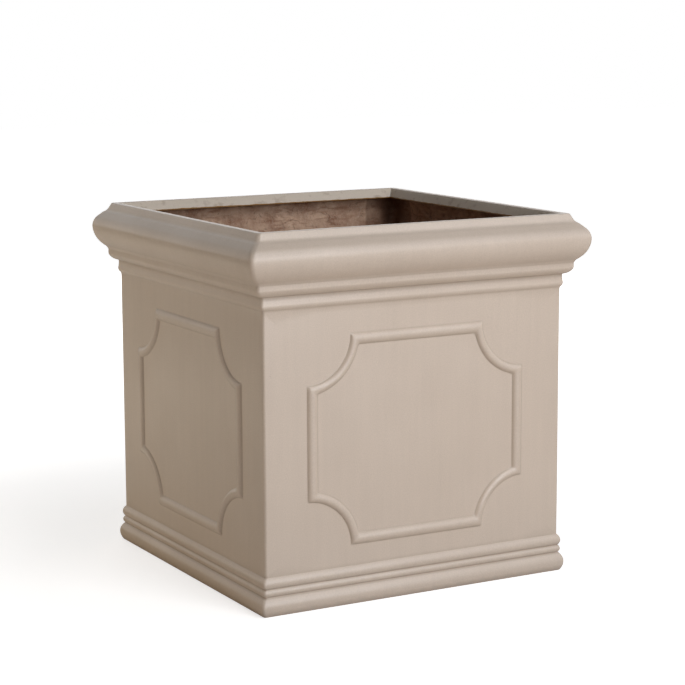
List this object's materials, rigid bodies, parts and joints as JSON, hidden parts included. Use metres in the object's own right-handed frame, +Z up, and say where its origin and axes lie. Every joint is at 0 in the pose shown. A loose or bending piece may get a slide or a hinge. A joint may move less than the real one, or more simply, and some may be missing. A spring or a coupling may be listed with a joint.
{
  "type": "square planter",
  "caption": "Large square garden planter in classical style with a moulded rim, framed walls, a low plinth and a floor drain with a lift-out plug.",
  "frame": {"origin": "centre of the base, on the ground", "axes": "+Z up along the planter's axis, the front wall faces -Y and the right wall faces +X; the four walls are alike"},
  "size_m": [0.6084, 0.6084, 0.587],
  "materials": {
    "stone_resin": "matte",
    "glass_fibre": "matte",
    "resin_paste": "matte",
    "plug_rubber": "matte"
  },
  "bodies": {
    "shell": {"side_front": "stone_resin", "side_right": "stone_resin", "side_back": "stone_resin", "side_left": "stone_resin", "laminate_front": "glass_fibre", "laminate_right": "glass_fibre", "laminate_back": "glass_fibre", "laminate_left": "glass_fibre", "corner_strip_front_left": "glass_fibre", "corner_strip_front_right": "glass_fibre", "corner_strip_back_left": "glass_fibre", "corner_strip_back_right": "glass_fibre", "floor_panel": "glass_fibre", "floor_bond_front": "resin_paste", "floor_bond_right": "resin_paste", "floor_bond_back": "resin_paste", "floor_bond_left": "resin_paste"},
    "plug": {"drain_plug": "plug_rubber"}
  },
  "joints": [
    {"name": "plug_lift", "type": "slide", "parent": "shell", "child": "plug", "axis": [0, 0, 1], "range_m": [0, 0.6]}
  ]
}
